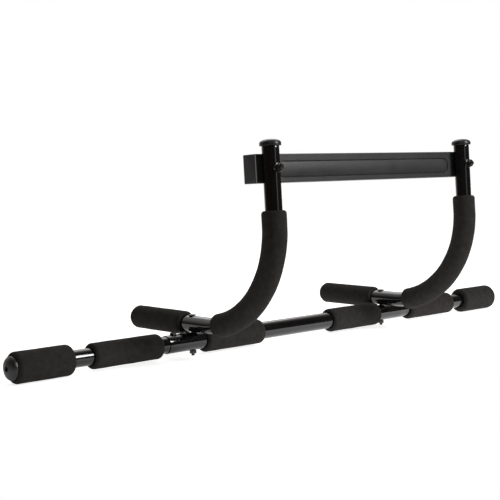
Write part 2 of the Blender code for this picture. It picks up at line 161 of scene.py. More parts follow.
class PullUpBarStage(bpy.types.PropertyGroup):
    floor: colour("Floor", "Pale floor", (0.92, 0.92, 0.92))
    glow: strength("Floor glow", "Light that the floor gives off itself", 0.75)
    sky: strength("Sky", "Strength of the soft light from above", 0.85)
    front: power("Front light", "Power of the soft light in front", 26.0)
    left: power("Left light", "Power of the small light high on the left", 1.9)
    card: power("Front card", "Power of the dim card low in front", 0.8)
    back: power("Back light", "Power of the soft light above and behind", 8.0)


def sizes():
    return bpy.context.scene.pull_up_bar_sizes


def finishes():
    return bpy.context.scene.pull_up_bar_finishes


def stage_values():
    return bpy.context.scene.pull_up_bar_stage


# ---------------------------------------------------------------- lines and outlines


def bar_line(stops, side=1.0):
    """Points on the bar's axis at distances outwards from its middle, with the two directions square to
    it."""
    centres = BAR_CENTRE + np.stack([side * stops, 0 * stops, 0 * stops], -1)
    ones = np.ones_like(stops)[:, None]
    return centres, ones * (0.0, 1.0, 0.0), ones * (0.0, 0.0, 1.0)


def arm_line(stops, side):
    """An arm's centre line: level along Y up to the level run, then an arc of the bend radius through a
    quarter turn and the lean, then straight. Handles have negative distances from the crossing."""
    size = sizes()
    whole = math.pi / 2 + size.lean
    turn = np.clip((stops - size.level_run) / size.bend_radius, 0.0, whole)
    level = np.minimum(stops, size.level_run)
    beyond = np.maximum(stops - size.level_run - size.bend_radius * whole, 0.0)
    none = np.zeros_like(stops)
    along = np.stack([none, -np.cos(turn), np.sin(turn)], -1)
    rise = size.bend_radius * (1 - np.cos(turn))
    arc = np.stack([none, -level - size.bend_radius * np.sin(turn), rise], -1)
    crossing = np.array([side * ARM_X, BAR_CENTRE[1], CROSSING_Z])
    across = np.ones_like(stops)[:, None] * (1.0, 0.0, 0.0)
    return crossing + arc + along * beyond[:, None], across, np.cross(along, across)


def arm_top():
    size = sizes()
    return size.level_run + size.bend_radius * (math.pi / 2 + size.lean) + size.upright_run


def standing_line(origin, along, across):
    """A straight line from origin; distances run along it."""
    along, across = np.array(along, float), np.array(across, float)

    def line(stops):
        ones = np.ones_like(stops)[:, None]
        return np.array(origin) + stops[:, None] * along, ones * across, ones * np.cross(along, across)

    return line


def filleted(corners, cuts, steps=5, closed=False):
    """A polyline with each corner replaced by a quadratic curve: it leaves the incoming edge one cut
    before the corner and joins the outgoing edge one cut after it, and the corner itself is the curve's
    control point."""
    corners, cuts = np.array(corners, float), np.array(cuts, float)[:, None]
    before, after = np.roll(corners, 1, 0), np.roll(corners, -1, 0)
    if not closed:
        before[0], after[-1] = corners[0], corners[-1]

    def towards(other):
        step = other - corners
        return step / np.maximum(np.linalg.norm(step, axis=1, keepdims=True), 1e-12)

    start, end = corners + towards(before) * cuts, corners + towards(after) * cuts
    share = np.linspace(0, 1, steps)[None, :, None]
    curve = (1 - share) ** 2 * start[:, None] + 2 * share * (1 - share) * corners[:, None]
    curve = curve + share**2 * end[:, None]
    points = curve.reshape(-1, 2)
    moved = np.linalg.norm(np.diff(points, axis=0), axis=1) > 1e-7
    return points[np.concatenate([[True], moved])]


def denser(points, spacing):
    """The same polyline with extra points, so that none of its edges is longer than spacing."""
    run = np.concatenate([[0.0], np.cumsum(np.linalg.norm(np.diff(points, axis=0), axis=1))])
    extra = np.linspace(0, run[-1], max(int(run[-1] / spacing), 1) + 1)
    clear = np.abs(extra[:, None] - run[None, :]).min(1) > spacing * 0.3
    stops = np.sort(np.concatenate([run, extra[clear]]))
    return np.stack([np.interp(stops, run, column) for column in points.T], -1)


def swept(line, outline, columns, radius=None):
    """Grid of points round a line: each row is a ring square to the line at the outline's distance, with
    the outline's radius, or the radius given for each row and column."""
    centres, across, rise = line(outline[:, 0])
    angle = 2 * np.pi * np.arange(columns) / columns
    spokes = across[:, None] * np.cos(angle)[None, :, None] + rise[:, None] * np.sin(angle)[None, :, None]
    reach = outline[:, 1:2] * np.ones(columns) if radius is None else radius
    return centres[:, None] + spokes * reach[:, :, None]


# ---------------------------------------------------------------- meshes


def shell(points, closed=False):
    """Places, quads and triangles of a closed shell from a grid of points. Columns always join round.
    Rows join round where closed, as in the wall of a tube, and otherwise each end row is drawn together
    to a pole at its own middle. The volume under all faces is summed, and where it is negative the faces
    are turned over."""
    rows, columns = points.shape[:2]
    index = np.arange(rows * columns).reshape(rows, columns)
    upper = index if closed else index[:-1]
    lower = np.roll(index, -1, 0) if closed else index[1:]
    quads = np.stack([upper, np.roll(upper, -1, 1), np.roll(lower, -1, 1), lower], -1).reshape(-1, 4)
    places = points.reshape(-1, 3)
    fans = np.empty((0, 3), int)
    if not closed:
        first, last = rows * columns, rows * columns + 1
        places = np.concatenate([places, points[0].mean(0)[None], points[-1].mean(0)[None]])
        top, end = index[0], index[-1]
        fans = np.concatenate([
            np.stack([np.full(columns, first), np.roll(top, -1), top], -1),
            np.stack([np.full(columns, last), end, np.roll(end, -1)], -1),
        ])
    triangles = np.concatenate([quads[:, [0, 1, 2]], quads[:, [0, 2, 3]], fans])
    if np.linalg.det((places - places.mean(0))[triangles]).sum() < 0:
        quads, fans = quads[:, ::-1], fans[:, ::-1]
    return places, quads, fans


def surface(name, points, closed=False, sharp=35.0):
    """A mesh of one closed shell, smooth but for edges sharper than so many degrees."""
    places, quads, fans = shell(points, closed)
    mesh = bpy.data.meshes.new(name)
    mesh.from_pydata(places.tolist(), [], quads.tolist() + fans.tolist())
    smooth(mesh, sharp)
    return mesh


def smooth(mesh, sharp):
    mesh.update()
    mesh.shade_smooth()
    mesh.set_sharp_from_angle(angle=math.radians(sharp))


def piece(name, mesh, material, slot, *nodes):
    """Puts a finished mesh in the scene, riding on the frame, in place of the CAD nodes that it stands
    for."""
    made = bpy.data.objects.new(name, mesh)
    bpy.context.scene.collection.objects.link(made)
    mesh.materials.clear()
    mesh.materials.append(material)
    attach(made, "root")
    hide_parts(*nodes)
    return made


# ---------------------------------------------------------------- finishes


class Nodes:
    """Short names for adding and joining a material's nodes."""

    def __init__(self, name):
        self.material = bpy.data.materials.get(name) or bpy.data.materials.new(name)
        self.material.use_nodes = True
        self.tree = self.material.node_tree
        self.tree.nodes.clear()
        self.shader = self.add("ShaderNodeBsdfPrincipled")
        output = self.add("ShaderNodeOutputMaterial")
        self.join(self.shader.outputs["BSDF"], output.inputs["Surface"])
        self.place = self.add("ShaderNodeTexCoord").outputs["Object"]

    def add(self, kind, **settings):
        node = self.tree.nodes.new(kind)
        for key, value in settings.items():
            setattr(node, key, value)
        return node

    def join(self, source, target):
        self.tree.links.new(source, target)

    def noise(self, scale, detail=2.0, roughness=0.5):
        node = self.add("ShaderNodeTexNoise")
        node.inputs["Scale"].default_value = scale
        node.inputs["Detail"].default_value = detail
        node.inputs["Roughness"].default_value = roughness
        self.join(self.place, node.inputs["Vector"])
        return node.outputs["Fac"]

    def cells(self, scale):
        node = self.add("ShaderNodeTexVoronoi")
        node.inputs["Scale"].default_value = scale
        self.join(self.place, node.inputs["Vector"])
        return node.outputs["Distance"]

    def ramp(self, value, low, high, start, end):
        """start where value is low or less, end where it is high or more, and straight between."""
        node = self.add("ShaderNodeMapRange")
        for key, number in (("From Min", low), ("From Max", high), ("To Min", start), ("To Max", end)):
            node.inputs[key].default_value = number
        self.join(value, node.inputs["Value"])
        return node.outputs["Result"]

    def blend(self, share, first, second):
        """Colour first where share is 0 and second where it is 1; either may be another node's output."""
        node = self.add("ShaderNodeMix", data_type="RGBA")
        self.join(share, node.inputs["Factor"])
        for socket, value in ((node.inputs[6], first), (node.inputs[7], second)):
            if isinstance(value, bpy.types.NodeSocket):
                self.join(value, socket)
            else:
                socket.default_value = (*value, 1.0)
        return node.outputs[2]

    def bump(self, height, distance, strength, under=None):
        node = self.add("ShaderNodeBump")
        node.inputs["Distance"].default_value = distance
        node.inputs["Strength"].default_value = strength
        self.join(height, node.inputs["Height"])
        if under is not None:
            self.join(under, node.inputs["Normal"])
        return node.outputs["Normal"]


def shade(tint, factor):
    return tuple(min(channel * factor, 1.0) for channel in tint)


def foam_material():
    """Closed-cell foam: a fine pitted skin with slow changes of tone and a faint bloom in patches."""
    nodes = Nodes("foam")
    tint = tuple(finishes().foam)
    patches = nodes.ramp(nodes.noise(110.0, 4.0, 0.6), 0.35, 0.65, 0, 1)
    tone = nodes.blend(patches, shade(tint, 0.84), shade(tint, 1.18))
    pits = nodes.cells(1500.0)
    # Painted shade: the colour falls to 0.72 of the tint in the pits that the bump below sinks.
    shaded_pits = nodes.blend(nodes.ramp(pits, 0.12, 0.42, 0, 1), shade(tint, 0.72), tone)
    bloom = nodes.ramp(nodes.noise(620.0, 4.0, 0.65), 0.58, 0.78, 0, 0.35)
    nodes.join(nodes.blend(bloom, shaded_pits, shade(tint, 2.0)), nodes.shader.inputs["Base Color"])
    nodes.join(nodes.ramp(nodes.noise(90.0), 0.3, 0.7, 0.84, 0.97), nodes.shader.inputs["Roughness"])
    slow = nodes.bump(nodes.noise(130.0, 3.0), 0.25 * MM, 0.5)
    fine = nodes.bump(nodes.noise(900.0, 4.0, 0.7), 0.18 * MM, 0.7, slow)
    nodes.join(nodes.bump(pits, 0.12 * MM, 0.6, fine), nodes.shader.inputs["Normal"])
    nodes.shader.inputs["Specular IOR Level"].default_value = 0.12
    return nodes.material


def paint_material():
    """Gloss black paint on steel tube: a slight orange peel, with dust and light rubs."""
    nodes = Nodes("gloss_black_paint")
    tint = tuple(finishes().paint)
    dust = nodes.ramp(nodes.noise(1400.0, 4.0, 0.7), 0.66, 0.78, 0, 0.35)
    tone = nodes.blend(nodes.noise(16.0), shade(tint, 0.8), shade(tint, 1.3))
    nodes.join(nodes.blend(dust, tone, shade(tint, 9.0)), nodes.shader.inputs["Base Color"])
    rubs = nodes.ramp(nodes.noise(70.0, 5.0, 0.6), 0.45, 0.75, 0.09, 0.17)
    nodes.join(rubs, nodes.shader.inputs["Roughness"])
    peel = nodes.bump(nodes.noise(260.0, 2.0), 0.05 * MM, 0.35)
    nodes.join(nodes.bump(nodes.noise(1100.0, 2.0), 0.02 * MM, 0.25, peel), nodes.shader.inputs["Normal"])
    nodes.shader.inputs["Coat Weight"].default_value = 0.35
    nodes.shader.inputs["Coat Roughness"].default_value = 0.06
    return nodes.material


def painted_edge_highlight(nodes, place):
    """One on the bracket's upright front edges and nought elsewhere: near either end along X and, at the
    same time, near the face, as the place along the bracket's own Y tells."""
    split, from_middle = nodes.add("ShaderNodeSeparateXYZ"), nodes.add("ShaderNodeMath", operation="ABSOLUTE")
    nodes.join(nodes.place, split.inputs[0])
    nodes.join(split.outputs["X"], from_middle.inputs[0])
    at_end = nodes.ramp(from_middle.outputs[0], place.half - BRACKET_EDGE, place.half - 0.7 * MM, 0, 1)
    inwards = nodes.add("ShaderNodeVectorMath", operation="DOT_PRODUCT")
    inwards.inputs[1].default_value = place.y
    nodes.join(nodes.place, inwards.inputs[0])
    front = float(place.origin @ place.y) + place.face
    at_front = nodes.ramp(inwards.outputs["Value"], front + 0.2 * MM, front + BRACKET_EDGE, 1, 0)
    edge = nodes.add("ShaderNodeMath", operation="MULTIPLY")
    nodes.join(at_end, edge.inputs[0])
    nodes.join(at_front, edge.inputs[1])
    return edge.outputs[0]


def plastic_material(name, tint, grain, depth, low, high, place=None):
    """Moulded plastic: a leathery grain of small cells, with the polish changing slowly over the piece.
    Where a bracket's place is given, its upright front edges are rubbed bright."""
    nodes = Nodes(name)
    cells = nodes.cells(grain)
    tone = nodes.blend(nodes.noise(22.0, 3.0), shade(tint, 0.85), shade(tint, 1.18))
    worn = nodes.ramp(nodes.noise(300.0, 5.0, 0.7), 0.60, 0.80, 0, 0.3)
    finish = nodes.blend(worn, tone, shade(tint, 2.2))
    if place:
        # Painted highlight: the upright front edges are lightened to 18 times the tint, in place of light
        # caught on the rounded edges.
        finish = nodes.blend(painted_edge_highlight(nodes, place), finish, shade(tint, 18.0))
    nodes.join(finish, nodes.shader.inputs["Base Color"])
    nodes.join(nodes.ramp(nodes.noise(45.0, 4.0), 0.3, 0.7, low, high), nodes.shader.inputs["Roughness"])
    rough = nodes.bump(nodes.noise(grain * 0.6, 3.0, 0.6), depth, 0.5)
    nodes.join(nodes.bump(cells, depth, 0.6, rough), nodes.shader.inputs["Normal"])
    return nodes.material


def fastener_material():
    """Blackened steel: grey-black with bare, brighter metal rubbed through in small patches."""
    nodes = Nodes("blackened_steel")
    tint = tuple(finishes().fastener)
    worn = nodes.ramp(nodes.noise(420.0, 5.0, 0.65), 0.56, 0.74, 0, 0.5)
    tone = nodes.blend(nodes.noise(90.0), shade(tint, 0.7), shade(tint, 1.4))
    nodes.join(nodes.blend(worn, tone, shade(tint, 9.0)), nodes.shader.inputs["Base Color"])
    nodes.join(nodes.ramp(nodes.noise(500.0, 3.0), 0.3, 0.7, 0.14, 0.30), nodes.shader.inputs["Roughness"])
    nodes.join(nodes.bump(nodes.noise(1300.0, 3.0), 0.03 * MM, 0.5), nodes.shader.inputs["Normal"])
    nodes.shader.inputs["Metallic"].default_value = 0.75
    return nodes.material


# ---------------------------------------------------------------- tubes and foam


def tube_mesh(name, line, start, end, radius, bore, spacing, columns=64):
    """A tube's wall: out along the outside and back along the bore, with both rims filleted."""
    rim = (radius - bore) * 0.3
    corners = [(start, bore), (start, radius), (end, radius), (end, bore)]
    outline = filleted(corners, [rim] * 4, steps=4, closed=True)
    split = int(np.argmax(outline[:, 0] > (start + end) / 2))
    near, far = outline[:split], outline[split:]
    outside = denser(np.stack([near[-1], far[0]]), spacing)[1:-1]
    inside = denser(np.stack([far[-1], near[0]]), spacing)[1:-1]
    return surface(name, swept(line, np.concatenate([near, outside, far, inside]), columns), closed=True)


def foam_mesh(name, line, start, end, radius, bore, spacing=2.0 * MM, columns=72, seed=0.0):
    """A foam sleeve. Its ends are quarter ovals: the radius falls by the cosine of an angle while the
    length closes by its sine. The outside swells and dips by about a tenth of a millimetre in slow waves
    along and round it, and the mouth has a small lip against the tube."""
    rounding = sizes().foam_rounding
    fall = min(rounding, radius - bore - 0.2 * MM)
    quarter = np.linspace(0, np.pi / 2, 9)
    inset, drop = rounding * (1 - np.sin(quarter)), fall * (1 - np.cos(quarter))
    lip = 0.5 * MM
    near = np.stack([start + inset, radius - drop], -1)[::-1]
    far = np.stack([end - inset, radius - drop], -1)
    outside = denser(np.stack([near[-1], far[0]]), spacing)[1:-1]
    mouth = np.array([(start + lip, bore), (start, bore + lip)])
    exit_mouth = np.array([(end, bore + lip), (end - lip, bore)])
    inside = denser(np.stack([exit_mouth[-1], mouth[0]]), spacing * 2)[1:-1]
    outline = np.concatenate([mouth, near, outside, far, exit_mouth, inside])
    run, around = outline[:, 0:1] / MM, 2 * np.pi * np.arange(columns)[None] / columns
    long_waves = np.sin(run / 9.0 + seed + np.sin(around)) * np.cos(2 * around + seed * 2.3)
    waves = long_waves + 0.5 * np.sin(run / 4.1 + 3 * around + seed * 1.7)
    outer = (outline[:, 1:2] - bore) / (radius - bore)
    reach = outline[:, 1:2] + waves * np.clip(outer, 0, 1) ** 2 * 0.09 * MM
    return surface(name, swept(line, outline, columns, reach), closed=True, sharp=60.0)


def made_foam(name, mesh, material, node):
    piece(name, mesh, material, "foam", node)


def make_bar_tubes():
    paint = paint_material()
    inner = TUBE_RADIUS + GAP
    ends = (-CENTRE_TUBE_END, CENTRE_TUBE_END)
    mesh = tube_mesh("centre_tube", bar_line, *ends, CENTRE_TUBE_RADIUS, inner, 20 * MM)
    piece("centre_tube_painted", mesh, paint, "steel", "centre_tube")
    for side, sign in SIDES:
        low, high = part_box(f"{side}_end_bar")
        ends = sorted((abs(low[0]), abs(high[0])))
        line = partial(bar_line, side=sign)
        bore = TUBE_RADIUS - sizes().tube_wall
        mesh = tube_mesh(f"{side}_end_bar", line, *ends, TUBE_RADIUS, bore, 20 * MM)
        piece(f"{side}_end_bar_painted", mesh, paint, "steel", f"{side}_end_bar")


def make_bar_grips():
    foam = foam_material()
    for side, sign in SIDES:
        line = partial(bar_line, side=sign)
        tubes = (("end_grip", TUBE_RADIUS), ("wide_grip", TUBE_RADIUS), ("inner_grip", CENTRE_TUBE_RADIUS))
        for number, (kind, inside) in enumerate(tubes):
            node = f"{side}_{kind}"
            low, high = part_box(node)
            ends = sorted((abs(low[0]), abs(high[0])))
            mesh = foam_mesh(node, line, *ends, extent(node)[2] / 2, inside + GAP, seed=number + sign)
            made_foam(f"{node}_foam", mesh, foam, node)


def make_arm_tubes():
    paint = paint_material()
    top = arm_top()
    for side, sign in SIDES:
        line = partial(arm_line, side=sign)
        reach = line(np.array([top]))[0][0][2] + TUBE_RADIUS * math.sin(sizes().lean)
        if abs(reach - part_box(f"{side}_arm_tube")[1][2]) > MM:
            raise ValueError(f"the {side} arm's bend doesn't reach the top of its CAD tube")
        bore = TUBE_RADIUS - sizes().tube_wall
        mesh = tube_mesh(f"{side}_arm_tube", line, -HANDLE_END, top, TUBE_RADIUS, bore, 4 * MM)
        piece(f"{side}_arm_tube_painted", mesh, paint, "steel", f"{side}_arm_tube")


def make_arm_foam():
    foam = foam_material()
    size = sizes()
    for side, sign in SIDES:
        line = partial(arm_line, side=sign)
        node = f"{side}_handle_grip"
        ends, radius = (-HANDLE_END, extent(node)[1] - HANDLE_END), extent(node)[0] / 2
        mesh = foam_mesh(node, line, *ends, radius, TUBE_RADIUS + GAP, seed=4 + sign)
        made_foam(f"{node}_foam", mesh, foam, node)
        node = f"{side}_arm_pad"
        start, along = (getattr(size, f"{side}_pad_{kind}") for kind in ("start", "length"))
        radius = extent(node)[0] / 2
        mesh = foam_mesh(node, line, start, start + along, radius, TUBE_RADIUS + GAP, seed=7 + sign)
        made_foam(f"{node}_foam", mesh, foam, node)


# ---------------------------------------------------------------- caps


def cap_mesh(name, line, radius, height, vent):
    """A cap turned about its tube's axis: a plain stem, a rim with small fillets, and a crown. Over a
    quarter turn the crown's radius is the cosine to the power of 0.92, and it rises by the sine to the
    power of 0.8, or of 1.15 on a vented cap, which is nearer a cone and ends in a filleted hole."""
    stem = TUBE_RADIUS - sizes().tube_wall - GAP
    rim = height * 0.3
    quarter = np.linspace(0, np.pi / 2, 17)[1:-1]
    rise = 1.15 if vent else 0.8
    dome = np.stack([rim + (height - rim) * np.sin(quarter) ** rise, radius * np.cos(quarter) ** 0.92], -1)
    base = filleted(
        [(-CAP_STEM, 0.5 * MM), (-CAP_STEM, stem), (0.0, stem), (0.0, radius), (rim, radius)],
        [0, 1.0 * MM, 0.2 * MM, 0.7 * MM, 0], steps=4,
    )
    if vent:
        mouth, floor = vent * 1.25, height - VENT_DEPTH
        dome = dome[dome[:, 1] > mouth]
        crown = filleted(
            [(height, mouth), (height - 0.2 * MM, vent), (floor, vent), (floor, 0.3 * MM)],
            [0, 0.3 * MM, 0.4 * MM, 0], steps=4,
        )
        dome = np.concatenate([dome, crown])
    else:
        dome = np.concatenate([dome, [(height, 0.4 * MM)]])
    return surface(name, swept(line, np.concatenate([base, dome]), 56), sharp=50.0)


def make_caps():
    lean = sizes().lean
    plastic = plastic_material("cap_plastic", tuple(finishes().cap), 1700.0, 0.04 * MM, 0.30, 0.42)
    for side, sign in SIDES:
        low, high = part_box(f"{side}_bar_end_cap")
        tube_end = max(abs(corner[0]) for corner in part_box(f"{side}_end_bar")) + GAP
        line = standing_line(BAR_CENTRE + (sign * tube_end, 0, 0), (sign, 0, 0), (0, 1, 0))
        height = max(abs(low[0]), abs(high[0])) - tube_end
        mesh = cap_mesh(f"{side}_bar_end_cap", line, (high[2] - low[2]) / 2, height, VENT_RADIUS)
        piece(f"{side}_bar_end_cap_moulded", mesh, plastic, "cap", f"{side}_bar_end_cap")

        centre, _, _ = arm_line(np.array([-HANDLE_END - GAP, arm_top() + GAP]), sign)
        low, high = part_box(f"{side}_handle_end_cap")
        line = standing_line(centre[0], (0, 1, 0), (1, 0, 0))
        mesh = cap_mesh(f"{side}_handle_end_cap", line, (high[0] - low[0]) / 2, high[1] - centre[0][1], 0.0)
        piece(f"{side}_handle_end_cap_moulded", mesh, plastic, "cap", f"{side}_handle_end_cap")

        low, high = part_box(f"{side}_arm_top_cap")
        line = standing_line(centre[1], (0, math.sin(lean), math.cos(lean)), (1, 0, 0))
        mesh = cap_mesh(f"{side}_arm_top_cap", line, (high[0] - low[0]) / 2, high[2] - centre[1][2], 0.0)
        piece(f"{side}_arm_top_cap_moulded", mesh, plastic, "cap", f"{side}_arm_top_cap")


# ---------------------------------------------------------------- door bracket


class BracketPlace:
    """The bracket's own frame: X along the bar, Y square to the uprights towards the wall, Z up the
    uprights."""

    def __init__(self):
        size = sizes()
        centre = arm_line(np.array([arm_top() - size.bracket_drop]), 0.0)[0][0]
        self.origin = centre
        self.y = np.array([0, math.cos(size.lean), -math.sin(size.lean)])
        self.z = np.array([0, math.sin(size.lean), math.cos(size.lean)])
        self.face = TUBE_RADIUS + GAP - size.bracket_seat
        self.back = self.face + size.bracket_depth
        self.half = extent("door_bracket")[0] / 2

    def put(self, local):
        x, y, z = local[..., 0:1], local[..., 1:2], local[..., 2:3]
        return self.origin + x * (1.0, 0.0, 0.0) + y * self.y + z * self.z


def panel_slot():
    """The sunk panel's half height, the height of its middle line and half that line's length."""
    size = sizes()
    radius = size.panel_height / 2
    return radius, -size.bracket_height / 2 + size.panel_margin + radius, ARM_X - size.panel_end - radius


def panel_sink(x, z):
    """How far the bracket's face is sunk at x and z. The panel is a slot with half-round ends: its edge is
    where the distance from the slot's middle line equals its half height. The face falls to the panel's depth
    by a smooth step, into a narrow groove shaped as a bell curve, and inside the groove it swells back as one
    minus the square of the height."""
    size = sizes()
    step, groove_middle, groove_width, groove_depth = 0.5 * MM, 0.8 * MM, 0.5 * MM, 0.6 * MM
    radius, middle_z, reach = panel_slot()
    outside = np.maximum(np.abs(x) - reach, 0.0)
    from_line = np.hypot(outside, z - middle_z)
    share = np.clip((radius - from_line) / step, 0, 1)
    inside = share * share * (3 - 2 * share)
    swell = np.clip(1 - (from_line / (radius - 0.9 * MM)) ** 2, 0, 1)
    groove = np.exp(-(((radius - from_line - groove_middle) / groove_width) ** 2))
    return size.panel_depth * inside - size.panel_swell * swell + groove_depth * groove


def bracket_beam(place):
    """The beam before its pockets: a filleted section in Y and Z carried along X, drawn in by a quarter
    round at each end, with the front of every row sunk by panel_sink."""
    size = sizes()
    half, edge = size.bracket_height / 2, BRACKET_EDGE
    corners = [(place.back, -half), (place.face, -half), (place.face, half), (place.back, half)]
    section = filleted(corners, [edge * 0.7, edge, edge, edge * 0.7], steps=5, closed=True)
    front = np.isclose(section[:, 0], place.face)
    ends = np.flatnonzero(front)
    fine = denser(section[ends[0] : ends[-1] + 1], 0.45 * MM)
    section = np.concatenate([section[: ends[0]], fine, section[ends[-1] + 1 :]])
    middle_yz = np.array([(place.face + place.back) / 2, 0.0])
    scale = 1 - 2 * edge / np.array([size.bracket_depth, size.bracket_height])
    drawn = middle_yz + (section - middle_yz) * scale

    radius, _, reach = panel_slot()
    turn = np.linspace(0, np.pi / 2, 6)
    rounding = place.half - edge * (1 - np.sin(turn))
    plain = np.linspace(reach + radius + 2 * MM, place.half - edge, 8)[:-1]
    curved = np.arange(reach - 2 * MM, reach + radius + 2 * MM, 0.6 * MM)
    level = np.linspace(0, reach - 2 * MM, 24)[:-1]
    positive = np.concatenate([level, curved, plain, rounding])
    share = np.concatenate([np.zeros(len(positive) - len(turn)), 1 - np.cos(turn)])
    stops = np.concatenate([-positive[:0:-1], positive])
    share = np.concatenate([share[:0:-1], share])[:, None, None]
    section_rows = section[None] * (1 - share) + drawn[None] * share
    x = np.broadcast_to(stops[:, None], section_rows.shape[:2])
    y, z = section_rows[..., 0], section_rows[..., 1]
    y = y + np.isclose(section[:, 0], place.face)[None] * panel_sink(x, z)
    return surface("door_bracket", place.put(np.stack([x, y, z], -1)), sharp=40.0)


def prism(place, low, high, front, back, fillet):
    """A block that is a filleted rectangle in X and Z, from front to back."""
    corners = [(low[0], low[1]), (high[0], low[1]), (high[0], high[1]), (low[0], high[1])]
    outline = filleted(corners, [fillet] * 4, steps=5, closed=True)
    x, z = outline.T
    rows = [np.stack([x, np.full_like(x, y), z], -1) for y in (front, back)]
    return place.put(np.stack(rows))


def round_bar(place, x, radius, line_axis):
    """A cylinder at x, along the bracket's Z through both faces or along its Y from the seat to the
    pocket."""
    size = sizes()
    angle = 2 * np.pi * np.arange(64) / 64
    across, other = radius * np.cos(angle) + x, radius * np.sin(angle)
    if line_axis == "z":
        ends = (-size.bracket_height, size.bracket_height)
        rows = [np.stack([across, other, np.full_like(across, end)], -1) for end in ends]
    else:
        ends = (0.0, place.face + size.bracket_front + MM)
        rows = [np.stack([across, np.full_like(across, end), other], -1) for end in ends]
    return place.put(np.stack(rows))


def pocket_spans(place):
    """The X range of each pocket behind the bracket, between ribs as in its CAD solid."""
    wall, count = sizes().bracket_wall, POCKETS_EACH_SIDE
    outer = place.half - wall
    inner = 2 * ARM_X - outer
    width = (inner - CENTRE_RIB / 2 - count * wall) / count
    low = CENTRE_RIB / 2 + np.arange(count) * (width + wall)
    spans = [(inner, outer), *zip(low, low + width)]
    return spans + [(-high, -low) for low, high in spans]


def joined_tools(name, grids):
    """One object of several closed shells, for cutting."""
    places, faces, count = [], [], 0
    for grid in grids:
        corners, quads, fans = shell(grid)
        places += corners.tolist()
        faces += (quads + count).tolist() + (fans + count).tolist()
        count += len(corners)
    made = bpy.data.objects.new(name, bpy.data.meshes.new(name))
    made.data.from_pydata(places, [], faces)
    bpy.context.scene.collection.objects.link(made)
    return made


def make_door_bracket():
    size, place = sizes(), BracketPlace()
    tint = tuple(finishes().bracket)
    plastic = plastic_material("bracket_plastic", tint, 800.0, 0.16 * MM, 0.36, 0.48, place)
    inside = size.bracket_height / 2 - size.bracket_wall
    front = place.face + size.bracket_front
    pockets = [
        prism(place, (low, -inside), (high, inside), front, place.back * 1.2, 1.2 * MM)
        for low, high in pocket_spans(place)
    ]
    seats = [round_bar(place, sign * ARM_X, TUBE_RADIUS + GAP, "z") for _, sign in SIDES]
    holes = [round_bar(place, sign * ARM_X, BRACKET_BOLT_RADIUS + GAP, "y") for _, sign in SIDES]
    beam = bpy.data.objects.new("beam", bracket_beam(place))
    bpy.context.scene.collection.objects.link(beam)
    tools = [joined_tools("hollows", pockets + seats), joined_tools("holes", holes)]
    for tool in tools:
        cut = beam.modifiers.new(tool.name, "BOOLEAN")
        cut.operation, cut.solver, cut.object = "DIFFERENCE", "EXACT", tool
    graph = bpy.context.evaluated_depsgraph_get()
    mesh = bpy.data.meshes.new_from_object(beam.evaluated_get(graph))
    for spare in (beam, *tools):
        bpy.data.objects.remove(spare, do_unlink=True)
    smooth(mesh, 32.0)
    piece("door_bracket_moulded", mesh, plastic, "bracket", "door_bracket")


# ---------------------------------------------------------------- fasteners


def hexagon_rows(flats, low, high, hole=0.0, columns=72):
    """Rows of a hexagon with its top corners turned off. Its radius is half the flats over the cosine of
    the angle from the nearest flat's middle, never more than a cone 30 degrees from level that meets the
    top just inside the flats, and its upright edges are eased by one and a half percent. The lowest ring
    is drawn in by two percent."""
    angle = 2 * np.pi * np.arange(columns) / columns
    off = (angle + np.pi / 6) % (np.pi / 3) - np.pi / 6
    hexagon = np.minimum(flats / 2 / np.cos(off), flats / math.sqrt(3) * 0.985)
    turned, slope = flats / 2 * 0.95, math.tan(math.radians(30))
    fall = (flats / math.sqrt(3) - turned) * slope
    heights = np.concatenate([[low, low + 0.15 * MM], high - fall * np.linspace(1.1, 0, 8)])
    cone = turned + (high - heights) / slope
    radius = np.minimum(hexagon[None], cone[:, None])
    radius[0] *= 0.98
    if hole:
        mouth, lip = hole * 1.12, 0.3 * MM
        before = np.empty((0, 2))
        after = np.array([(high, mouth), (high - lip, hole), (low + lip, hole), (low, mouth)])
    else:
        before, after = np.array([(low, flats * 0.05)]), np.array([(high, flats * 0.05)])
    z = np.concatenate([before[:, 0], heights, after[:, 0]])
    ones = np.ones(columns)
    return np.stack([z, z], -1), np.concatenate([before[:, 1:2] * ones, radius, after[:, 1:2] * ones])


def hexagon_mesh(name, line, flats, low, high, hole=0.0):
    outline, rows = hexagon_rows(flats, low, high, hole)
    return surface(name, swept(line, outline, rows.shape[1], rows), closed=bool(hole), sharp=28.0)


def threaded(start, end, radius, pitch, columns):
    """Rows of a screw thread: the radius dips by a cosine wave of the height over the pitch less the
    share of a turn, so its crest climbs one pitch each turn. At both ends it fades to a plain round, a
    little smaller."""
    heights = np.arange(start, end, pitch / 8)
    turn = np.arange(columns) / columns
    wave = 0.5 - 0.5 * np.cos(2 * np.pi * (heights[:, None] / pitch - turn[None]))
    fade = np.clip(np.minimum(heights - start, end - heights) / (pitch * 0.7), 0, 1)[:, None]
    return heights, radius - 0.32 * pitch * (wave * fade + (1 - fade) * 0.4)


def bolt_mesh(name, line, tail, threads_end, seat, radius, head_radius, head_height, columns=40):
    """A round-headed bolt from its tail to its crown: a chamfered threaded end, a plain shank, and a head
    whose crown, over a short upright lip, has the sine for height and the cosine to the power of 0.85 for
    radius."""
    heights, thread = threaded(tail + 0.4 * MM, threads_end, radius, sizes().thread_pitch, columns)
    quarter = np.linspace(0, np.pi / 2, 11)[:-1]
    lip = head_height * 0.25
    crown_z = seat + lip + (head_height - lip) * np.sin(quarter)
    crown = np.stack([crown_z, head_radius * np.cos(quarter) ** 0.85], -1)
    low = np.array([(tail, radius * 0.3), (tail, radius * 0.82)])
    neck = np.array([(threads_end + 0.3 * MM, radius), (seat, radius), (seat, head_radius * 0.97)])
    high = np.concatenate([neck, crown])
    z = np.concatenate([low[:, 0], heights, high[:, 0]])
    rows = np.concatenate([low[:, 1:2] * np.ones(columns), thread, high[:, 1:2] * np.ones(columns)])
    return surface(name, swept(line, np.stack([z, z], -1), columns, rows), sharp=35.0)


